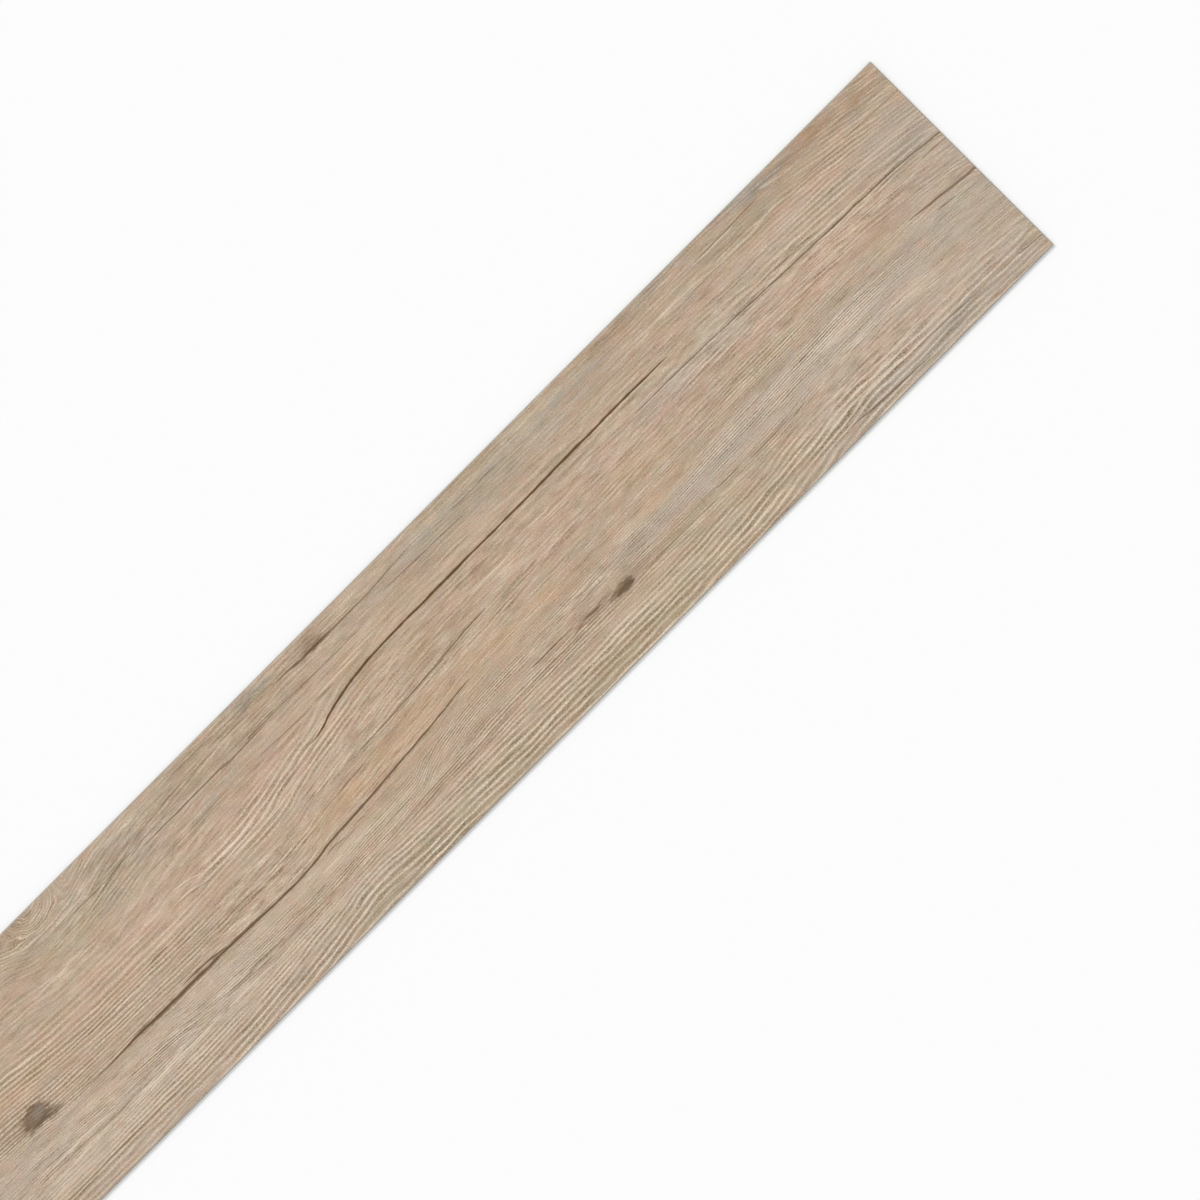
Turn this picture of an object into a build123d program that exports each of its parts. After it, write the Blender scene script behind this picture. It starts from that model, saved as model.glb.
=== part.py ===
from build123d import *

import os

# Glue-down vinyl floor plank with a wood-look face, lying flat with its face up.
# It is one pressed sheet, cut square on all four sides, so it is one solid.
# The length runs along X, the width along Y and the thickness along Z.
# The origin is the middle of the underside, which is the side that is glued down.

# Driving dimensions, in millimetres
plank_length = 914.4
plank_width = 152.4
plank_thickness = 2.0

# The eased edge round the face: how far it reaches in over the face, and how far it drops
bevel_run = 0.5
bevel_drop = 0.35

with BuildPart() as floor_plank:
    with BuildSketch(Plane.XY) as cut_outline:
        Rectangle(plank_length, plank_width)
    extrude(amount=plank_thickness)
    wear_face = floor_plank.faces().sort_by(Axis.Z)[-1]
    chamfer(wear_face.edges(), length=bevel_run, length2=bevel_drop, reference=wear_face)

floor_plank.part.label = "floor_plank"

os.makedirs("parts", exist_ok=True)
export_step(floor_plank.part, "parts/floor_plank.step")
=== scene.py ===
"""Dresses the floor plank: an embossed, printed wood face on a cut sheet of filled vinyl.

The plank lies flat and is seen from straight above. Its face is one mesh whose grain, splits and
knots are pressed a fraction of a millimetre deep. The same expressions press the mesh and tint
the print, so that colour and relief stay in register.
"""
import logging
import math
from dataclasses import dataclass, field
from enum import Enum
from typing import Any, Callable, Sequence

import bmesh
import bpy
from mathutils import Euler, Matrix, Vector


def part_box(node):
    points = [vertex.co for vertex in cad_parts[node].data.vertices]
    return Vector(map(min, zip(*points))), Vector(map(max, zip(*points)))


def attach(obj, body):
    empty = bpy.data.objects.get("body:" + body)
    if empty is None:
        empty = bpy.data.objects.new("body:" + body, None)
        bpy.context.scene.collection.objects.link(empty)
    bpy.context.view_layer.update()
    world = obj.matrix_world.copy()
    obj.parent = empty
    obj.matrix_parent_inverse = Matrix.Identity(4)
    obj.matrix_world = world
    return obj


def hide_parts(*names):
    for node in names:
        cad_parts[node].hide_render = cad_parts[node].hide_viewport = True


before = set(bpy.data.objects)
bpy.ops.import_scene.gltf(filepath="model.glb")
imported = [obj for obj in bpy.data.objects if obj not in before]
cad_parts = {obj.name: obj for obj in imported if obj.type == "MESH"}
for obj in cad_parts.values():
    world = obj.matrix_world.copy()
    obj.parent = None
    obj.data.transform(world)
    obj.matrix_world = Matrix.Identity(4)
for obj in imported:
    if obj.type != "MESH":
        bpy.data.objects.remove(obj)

log = logging.getLogger("floor_plank")

CAD_NODE = "floor_plank"
BODY = "root"
MM = 0.001  # metres in a millimetre
LEVEL = 0.01 * MM  # corners of the solid whose heights differ by less lie on one face

Point = tuple[float, float]
Colour = tuple[float, float, float]
Path = tuple[tuple[float, ...], ...]


def linear(colour: Colour) -> tuple[float, float, float, float]:
    """Turns a colour as seen on a screen into the light that a shader works with.

    Args:
        colour: Red, green and blue from 0 to 255, sRGB.

    Returns:
        Linear red, green, blue and an alpha of 1.
    """
    shares = [level / 255 for level in colour]
    light = [s / 12.92 if s <= 0.04045 else ((s + 0.055) / 1.055) ** 2.4 for s in shares]
    return light[0], light[1], light[2], 1.0


def add_object(name: str, data: bpy.types.ID) -> bpy.types.Object:
    """Puts a mesh, a lamp or a camera in the scene.

    Args:
        name: What the object is called.
        data: The mesh, lamp or camera.

    Returns:
        The object.
    """
    made = bpy.data.objects.new(name, data)
    bpy.context.scene.collection.objects.link(made)
    return made


class Tone(Enum):
    """The inks of the printed face, as screen colours."""

    TAN = (186, 163, 140)
    ROSE = (196, 156, 138)
    HONEY = (204, 164, 124)
    KHAKI = (172, 164, 128)
    STONE = (176, 168, 158)
    SLATE = (146, 150, 148)
    CREAM = (238, 220, 198)
    UMBER = (106, 82, 50)
    SPLIT = (88, 58, 16)
    OLIVE = (94, 73, 52)
    RUST = (122, 80, 58)
    ASH = (150, 140, 126)


def by_node(operation: str, flipped: bool = False) -> Callable[..., "Varying"]:
    """Makes a method of Varying that is one Math node.

    Args:
        operation: What the node does.
        flipped: Whether the other number comes before self, as in 1 - x.

    Returns:
        The method, which takes the other number if the operation has one.
    """

    def method(self: "Varying", *others: "Number") -> "Varying":
        """Feeds self and the other number to the node."""
        values = (*others, self) if flipped else (self, *others)
        return self.graph.math(operation, *values)

    return method


class Varying:
    """A number that varies over the plank: one output socket with Python's arithmetic on it."""

    def __init__(self, graph: "Graph", socket: bpy.types.NodeSocket) -> None:
        """Wraps an output socket of a graph's node."""
        self.graph = graph
        self.socket = socket

    __add__ = __radd__ = by_node("ADD")
    __sub__ = by_node("SUBTRACT")
    __rsub__ = by_node("SUBTRACT", flipped=True)
    __mul__ = __rmul__ = by_node("MULTIPLY")
    __truediv__ = by_node("DIVIDE")
    __pow__ = by_node("POWER")
    __abs__ = by_node("ABSOLUTE")
    at_least = by_node("MAXIMUM")
    at_most = by_node("MINIMUM")
    above = by_node("GREATER_THAN")

    def mix(self, other: "Varying", share: "Varying") -> "Varying":
        """self where share is 0, other where it is 1, and a straight mixture between."""
        return (other - self) * share + self

    def ramp(self, start: "Number", end: "Number", kind: str = "SMOOTHSTEP") -> "Varying":
        """Goes from 0 where self is start to 1 where it is end, and stays there.

        Args:
            start: The value that gives 0.
            end: The value that gives 1, which may be below start.
            kind: SMOOTHSTEP or LINEAR.

        Returns:
            The share from 0 to 1.
        """
        made = self.graph.node(
            "ShaderNodeMapRange",
            {"interpolation_type": kind, "clamp": True},
            {"Value": self, "From Min": start, "From Max": end},
        )
        return Varying(self.graph, made.outputs["Result"])


Number = Varying | float


class Graph:
    """Adds nodes to one tree, of a material or of a geometry modifier, by expressions."""

    def __init__(self, tree: bpy.types.NodeTree) -> None:
        """Starts on an empty tree."""
        self.tree = tree
        self.stencils: dict[str, bpy.types.NodeTree] = {}

    @classmethod
    def of_material(cls, name: str) -> tuple[bpy.types.Material, "Graph"]:
        """Starts an empty material.

        Args:
            name: What it is called.

        Returns:
            The material, and the graph of its nodes.
        """
        made = bpy.data.materials.new(name)
        made.use_nodes = True
        made.node_tree.nodes.clear()
        return made, cls(made.node_tree)

    @property
    def in_geometry(self) -> bool:
        """Whether the tree belongs to a geometry modifier, and not to a material."""
        return isinstance(self.tree, bpy.types.GeometryNodeTree)

    def node(
        self,
        kind: str,
        settings: dict[str, Any] | None = None,
        inputs: dict[str, Any] | None = None,
    ) -> bpy.types.Node:
        """Adds one node of any type.

        Args:
            kind: The node's type.
            settings: Its own settings, set first. points are the corners of a curve's line.
            inputs: Values or links for its sockets, by identifier or by name.

        Returns:
            The node.
        """
        made = self.tree.nodes.new(kind)
        for name, setting in (settings or {}).items():
            if name == "points":
                self._draw(made.mapping, setting)
            else:
                setattr(made, name, setting)
        sockets = {socket.name: socket for socket in made.inputs}
        sockets.update({socket.identifier: socket for socket in made.inputs})
        for name, value in (inputs or {}).items():
            self._feed(sockets[name], value)
        return made

    def _feed(self, socket: bpy.types.NodeSocket, value: Any) -> None:
        """Links a varying value or an output to an input, or sets a plain number there."""
        if isinstance(value, Varying):
            self.tree.links.new(value.socket, socket)
        elif isinstance(value, bpy.types.NodeSocket):
            self.tree.links.new(value, socket)
        else:
            socket.default_value = value

    def _draw(self, mapping: bpy.types.CurveMapping, points: Sequence[Point]) -> None:
        """Gives a curve its points, whose first and last replace the two it starts with."""
        line = mapping.curves[0]
        line.points[0].location = points[0]
        line.points[1].location = points[-1]
        for point in points[1:-1]:
            line.points.new(*point)
        mapping.update()

    def math(self, operation: str, *values: Number) -> Varying:
        """One Math node.

        Args:
            operation: What it does.
            values: Its one to three inputs.

        Returns:
            Its result.
        """
        names = ("Value", "Value_001", "Value_002")
        made = self.node("ShaderNodeMath", {"operation": operation}, dict(zip(names, values)))
        return Varying(self, made.outputs[0])

    def stencil(self, name: str, draw: Callable[..., Varying], **values: Number) -> Varying:
        """Applies a small drawing whose nodes are made once and then used many times.

        Args:
            name: What the drawing is called.
            draw: Takes a graph and the values by name, and returns the result.
            values: What it is applied to.

        Returns:
            Its result for these values.
        """
        if name not in self.stencils:
            tree = bpy.data.node_groups.new(name, self.tree.bl_idname)
            for key in values:
                tree.interface.new_socket(key, in_out="INPUT", socket_type="NodeSocketFloat")
            tree.interface.new_socket("result", in_out="OUTPUT", socket_type="NodeSocketFloat")
            inner = Graph(tree)
            source = inner.node("NodeGroupInput")
            taken = {key: Varying(inner, out) for key, out in zip(values, source.outputs)}
            inner.node("NodeGroupOutput", None, {"result": draw(inner, **taken)})
            self.stencils[name] = tree
        kind = "GeometryNodeGroup" if self.in_geometry else "ShaderNodeGroup"
        made = self.node(kind, {"node_tree": self.stencils[name]}, values)
        return Varying(self, made.outputs[0])

    def place(self) -> tuple[Varying, Varying, Varying]:
        """The point's own place on the plank, in millimetres along X, Y and Z."""
        if self.in_geometry:
            here = self.node("GeometryNodeInputPosition").outputs["Position"]
        else:
            here = self.node("ShaderNodeTexCoord").outputs["Object"]
        split = self.node("ShaderNodeSeparateXYZ", None, {"Vector": here})
        x, y, z = (Varying(self, out) / MM for out in split.outputs)
        return x, y, z

    def curve(self, share: Varying, points: Sequence[Point]) -> Varying:
        """A smooth line through points.

        Args:
            share: How far the place lies from the first point to the last, from 0 to 1.
            points: The (place, result) pairs, in order of place.

        Returns:
            The line's result there.
        """
        start, end = points[0][0], points[-1][0]
        low = min(result for _, result in points)
        rise = max(result for _, result in points) - low
        unit = [((v - start) / (end - start), (r - low) / (rise or 1.0)) for v, r in points]
        made = self.node("ShaderNodeFloatCurve", {"points": unit}, {"Value": share})
        return Varying(self, made.outputs["Value"]) * rise + low

    def noise(
        self, along: Number, across: Number, detail: float = 0.0, seed: float = 0.0
    ) -> Varying:
        """Soft flat noise that runs from about -1 to 1, with a mean of 0.

        Args:
            along: The first coordinate, one step of noise to a unit.
            across: The second one.
            detail: How many finer octaves ride on it.
            seed: Moves to another part of the pattern.

        Returns:
            The noise.
        """
        spot = self.node("ShaderNodeCombineXYZ", None, {"X": along, "Y": across})
        shift = {"Vector": spot.outputs["Vector"], "Vector_001": (seed, seed * 0.37, 0.0)}
        moved = self.node("ShaderNodeVectorMath", {"operation": "ADD"}, shift)
        made = self.node(
            "ShaderNodeTexNoise",
            {"noise_dimensions": "2D", "normalize": False},
            {"Vector": moved.outputs["Vector"], "Scale": 1.0, "Detail": detail},
        )
        return Varying(self, made.outputs[0])

    def blend(self, share: Number, under: Any, over: Any) -> Any:
        """Lays one colour over another.

        Args:
            share: How much of the upper one shows, from 0 to 1.
            under: The colour below.
            over: The colour above.

        Returns:
            The output with the mixed colour.
        """
        made = self.node(
            "ShaderNodeMix",
            {"data_type": "RGBA"},
            {"Factor_Float": share, "A_Color": under, "B_Color": over},
        )
        return made.outputs[2]

    def ink(self, share: Number, under: Any, tone: Tone) -> Any:
        """Lays an ink over a colour."""
        return self.blend(share, under, linear(tone.value))

    def tinge(
        self, swing: Varying, under: Any, above: Tone, below: Tone, most: float = 1.0
    ) -> Any:
        """Lays one ink where a swing is above 0, and another where it is below.

        Args:
            swing: The swing. Each ink is at its fullest where it is 1 or -1.
            under: The colour below them.
            above: The ink for above 0.
            below: The ink for below 0.
            most: How much of an ink shows at its fullest, from 0 to 1.

        Returns:
            The output with the mixed colour.
        """
        colour = self.ink(swing.ramp(0.0, 1.0, "LINEAR") * most, under, above)
        return self.ink(swing.ramp(0.0, -1.0, "LINEAR") * most, colour, below)

    def surface(self, colour: Any, roughness: Number, reflection: float, height: Varying) -> None:
        """Ends a material in its shader.

        Args:
            colour: Its colour.
            roughness: How rough it is.
            reflection: How much of the light its top reflects, 0.5 being the usual.
            height: How far its finest detail stands out, in millimetres.
        """
        bump = self.node(
            "ShaderNodeBump", None, {"Strength": 1.0, "Distance": MM, "Height": height}
        )
        shader = self.node(
            "ShaderNodeBsdfPrincipled",
            None,
            {
                "Base Color": colour,
                "Roughness": roughness,
                "Specular IOR Level": reflection,
                "Normal": bump.outputs["Normal"],
            },
        )
        self.node("ShaderNodeOutputMaterial", None, {"Surface": shader.outputs["BSDF"]})


@dataclass(frozen=True)
class Patch:
    """A long soft patch of the face, such as a flush of colour or a run of bold grain.

    Sizes are in millimetres. slope is how far its middle line climbs for each millimetre along.
    """

    middle_x: float
    middle_y: float
    half_length: float
    half_width: float
    strength: float = 1.0
    slope: float = 0.0

    def share(self, x: Varying, y: Varying) -> Varying:
        """How strongly the patch shows, from strength in its middle to 0 at its rim."""
        return x.graph.stencil("patch", self._draw, x=x, y=y, **vars(self))

    @staticmethod
    def _draw(
        graph: Graph, x: Varying, y: Varying, middle_x: Varying, middle_y: Varying,
        half_length: Varying, half_width: Varying, strength: Varying, slope: Varying,
    ) -> Varying:
        """Any patch, worked out from its numbers."""
        run = x - middle_x
        along = run / half_length
        across = (y - middle_y - run * slope) / half_width
        return (along * along + across * across).ramp(1.0, 0.0) * strength


def patches(*rows: tuple[float, ...]) -> tuple[Patch, ...]:
    """Patches from their numbers, each row in the order of Patch."""
    return tuple(Patch(*row) for row in rows)


def shown(spots: Sequence[Patch], x: Varying, y: Varying, start: float = 0.0) -> Number:
    """How strongly patches show together at a place, on top of a starting value."""
    total: Number = start
    for patch in spots:
        total = patch.share(x, y) + total
    return total


@dataclass(frozen=True)
class Split:
    """A drying crack or a dark hairline that follows the grain.

    path holds its middle line and its width there: (along, across, width) in millimetres. It
    is closed at a point without a width. depth is how far it is pressed in, and strength how
    dark it is.
    """

    path: Path
    depth: float = 0.08
    strength: float = 0.7

    def opening(self, x: Varying, y: Varying, ragged: Varying) -> Varying:
        """How open the split is at a point.

        Args:
            x: The place along the plank.
            y: The place across it.
            ragged: Slow noise that makes the split wider and narrower.

        Returns:
            1 in the middle of the split, and 0 off it.
        """
        graph = x.graph
        share = x.ramp(self.path[0][0], self.path[-1][0], "LINEAR")
        return graph.stencil(
            "split",
            self._draw,
            y=y,
            middle=graph.curve(share, [point[:2] for point in self.path]),
            width=graph.curve(share, [(p[0], p[2] if len(p) > 2 else 0.0) for p in self.path]),
            ragged=ragged,
        )

    @staticmethod
    def _draw(
        graph: Graph, y: Varying, middle: Varying, width: Varying, ragged: Varying
    ) -> Varying:
        """Any split, worked out from its middle line and width here."""
        half = width * (ragged * 0.15 + 0.5)
        return (abs(y - middle) / half.at_least(0.02)).ramp(1.5, 0.25)


def alike(depth: float, strength: float, *paths: Path) -> tuple[Split, ...]:
    """Splits of one depth and one strength, from their paths."""
    return tuple(Split(path, depth, strength) for path in paths)


@dataclass(frozen=True)
class Knot:
    """A small dark spot of a knot, in one ink: an oval with a ragged rim, in millimetres."""

    x: float
    y: float
    half_length: float
    half_width: float
    tone: Tone
    strength: float
    fray: float = 0.5
    rim: float = 0.85  # how wide the fading rim is, as a share of the spot

    def body(self, x: Varying, y: Varying, rough: Varying) -> Varying:
        """How much of the spot shows, from strength in its heart to 0 at its rim."""
        return x.graph.stencil(
            "knot", self._draw, x=x, y=y, middle_x=self.x, middle_y=self.y,
            half_length=self.half_length, half_width=self.half_width,
            strength=self.strength, rim=self.rim, rough=rough * self.fray,
        )

    @staticmethod
    def _draw(
        graph: Graph, x: Varying, y: Varying, middle_x: Varying, middle_y: Varying,
        half_length: Varying, half_width: Varying, strength: Varying, rim: Varying, rough: Varying,
    ) -> Varying:
        """Any spot, worked out from its numbers."""
        along = (x - middle_x) / half_length
        across = (y - middle_y) / half_width
        reach = (along * along + across * across) ** 0.5 + rough
        return reach.ramp(1.15, 1.15 - rim) * strength


@dataclass(frozen=True)
class GrainMap:
    """Where the growth rings run, from a few of them traced along the plank in millimetres.

    Near each traced ring the others run beside it at their usual distance. Midway between two
    traced ones they hand over, and some of them end there, as they do in sawn wood. A ring's
    number is how far across the plank its traced one lies where x is 0.
    """

    traced: tuple[tuple[Point, ...], ...] = (
        ((-457, -108), (-150, -94), (0, -87), (150, -87), (250, -82), (330, -73), (457, -75)),
        ((-457, -94), (-200, -88), (-150, -82), (-100, -76), (0, -76), (150, -76.5), (200, -74.5),
         (250, -70), (300, -65), (330, -62.5), (457, -65)),
        ((-457, -80), (-260, -79), (-200, -76), (-150, -71), (-110, -66), (-85, -64),
         (-50, -65.5), (0, -66), (150, -66), (200, -64.5), (240, -61.5), (280, -57.5), (310, -55),
         (350, -55.5), (457, -58)),
        ((-457, -66), (-230, -66.5), (-180, -64), (-140, -60), (-110, -56.5), (-85, -54),
         (-60, -55), (0, -55.5), (160, -56), (200, -54.5), (240, -52), (300, -47), (350, -48),
         (457, -53)),
        ((-457, -50), (-200, -52), (-140, -50), (-90, -47.5), (0, -43.5), (50, -41), (150, -40.5),
         (240, -42), (300, -39), (340, -38), (400, -41), (457, -45)),
        ((-457, -28), (-370, -30), (-300, -35), (-240, -39), (-200, -44), (-140, -46), (-80, -44),
         (-40, -42), (-20, -36), (0, -31), (40, -27), (160, -25), (220, -22.5), (300, -20),
         (340, -19), (400, -22), (457, -28)),
        ((-457, -16), (-350, -17.5), (-310, -22), (-250, -23.5), (-190, -24), (-130, -26),
         (-85, -22.5), (-50, -20.4), (0, -16.5), (60, -11), (130, -9.5), (300, -6.5), (380, -6),
         (457, -11.5)),
        ((-457, -4), (-345, -6.5), (-310, -9.5), (-280, -11), (-250, -12), (-150, -13),
         (-110, -12), (-80, -7), (-40, -3), (0, 0), (50, 4), (100, 7), (300, 9.5), (350, 8),
         (400, 4), (457, -3)),
        ((-457, 8), (-345, 4.5), (-315, 1.5), (-280, -1.5), (-250, -2.5), (-150, -3), (-110, -2),
         (-85, 2), (-50, 6), (0, 11), (50, 14.5), (200, 16), (260, 18), (330, 17.5), (380, 14.5),
         (420, 11), (457, 6)),
        ((-457, 18), (-335, 13), (-310, 10), (-280, 7.3), (-250, 6), (-150, 7), (-110, 9),
         (-85, 14), (-60, 19), (-30, 24), (0, 27.5), (60, 28.5), (230, 27.6), (300, 26),
         (360, 23.5), (425, 21.2), (457, 18)),
        ((-457, 24), (-330, 19), (-300, 15.8), (-270, 14), (-240, 13), (-150, 14), (-115, 16),
         (-85, 21.5), (-60, 26), (-35, 32), (-10, 36.5), (0, 37.3), (20, 38), (240, 38.3),
         (300, 36.5), (360, 33), (420, 29), (457, 23)),
        ((-457, 42), (-300, 38.5), (-275, 35.5), (-245, 33.5), (-205, 36), (-170, 41), (-120, 44),
         (-40, 46), (0, 47.5), (30, 48.5), (90, 48), (150, 45), (250, 43), (320, 40), (380, 38),
         (420, 34), (457, 28)),
        ((-457, 56), (-290, 55), (-270, 50), (-250, 48), (-225, 49.5), (-200, 53), (-170, 57.5),
         (-130, 61), (-60, 65), (0, 64), (70, 62.5), (130, 59), (220, 57), (330, 55.5), (375, 53),
         (405, 49), (457, 42)),
        ((-457, 76), (-300, 72), (-285, 68.5), (-270, 62), (-250, 57.5), (-232, 59), (-210, 64.5),
         (-185, 70), (-150, 72), (0, 72), (150, 72.5), (330, 71), (360, 69), (400, 63),
         (457, 54)),
    )
    # How far apart the rings lie: (ring number, millimetres from one to the next)
    spacing: tuple[Point, ...] = (
        (-120, 3.8), (-60, 3.7), (-54, 2.8), (-48, 2.4), (-44, 1.5), (-30, 1.5), (-16, 1.55),
        (-8, 2.0), (0, 2.35), (20, 2.4), (30, 3.1), (36, 3.5), (47, 3.5), (52, 2.3), (110, 2.3),
    )
    swirl: Point = (-247.0, 80.0)  # the heart of the knot that lies just off the upper edge
    swirl_stretch: float = 1.2  # how much longer than wide it is
    swirl_reach: Point = (25.0, 17.0)  # how far from its heart it starts to show, and shows fully
    swirl_ring: float = 102.5  # the ring number at its heart
    swirl_tightness: float = 1.4  # how much closer than elsewhere its growth lines lie
    swirl_wobble: float = 1.3  # how far its growth lines stray, in millimetres
    drift: float = 0.28  # how far a growth line slowly strays, as a share of the way to the next
    jitter: float = 0.1  # how far it strays over a short way

    def _number(self, line: Sequence[Point]) -> float:
        """The ring number of a traced ring: how far across it lies where x is 0."""
        for (x0, y0), (x1, y1) in zip(line, line[1:]):
            if x0 <= 0 <= x1:
                return y0 + (y1 - y0) * (0 - x0) / (x1 - x0)
        raise ValueError("A traced ring has to cross the middle of the plank.")

    def _count(self, ring: Varying) -> Varying:
        """How many growth lines lie between the first ring and this one."""
        count = 0.0
        points = [(self.spacing[0][0], 0.0)]
        for (low, gap_low), (high, gap_high) in zip(self.spacing, self.spacing[1:]):
            count += (high - low) * 2 / (gap_low + gap_high)
            points.append((high, count))
        share = ring.ramp(points[0][0], points[-1][0], "LINEAR")
        return ring.graph.curve(share, points)

    def phases(self, x: Varying, y: Varying) -> tuple[Varying, Varying, Varying]:
        """The growth line at a point, counted beside its two nearest traced rings.

        Args:
            x: The place along the plank.
            y: The place across it.

        Returns:
            The count beside the even ring, the count beside the odd one, and how much the even
            one's holds, from 0 to 1.
        """
        graph = x.graph
        share = x.ramp(self.traced[0][0][0], self.traced[0][-1][0], "LINEAR")
        heights = [graph.curve(share, line) for line in self.traced]
        beside = [y - height + self._number(line) for line, height in zip(self.traced, heights)]
        pair = beside[:2]
        for index in range(2, len(beside)):
            passed = y.above(heights[index - 1])
            pair[index % 2] = pair[index % 2].mix(beside[index], passed)
        even_holds: Number = 1.0
        for index, (low, high) in enumerate(zip(heights, heights[1:])):
            even_holds = y.ramp(low, high) * (1.0 if index % 2 else -1.0) + even_holds

        along = (x - self.swirl[0]) / self.swirl_stretch
        across = y - self.swirl[1]
        reach = (along * along + across * across) ** 0.5
        near = reach.ramp(*self.swirl_reach)
        around = self.swirl_ring - reach * self.swirl_tightness
        around = graph.noise(x / 8, y / 4.5, 1.0, 13.0) * self.swirl_wobble + around
        drift = graph.noise(x / 55, y / 9, 1.0, 11.0) * self.drift
        drift = graph.noise(x / 12, y / 5, 1.0, 17.0) * self.jitter + drift
        even, odd = (self._count(ring.mix(around, near)) + drift for ring in pair)
        return even, odd, even_holds


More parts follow.
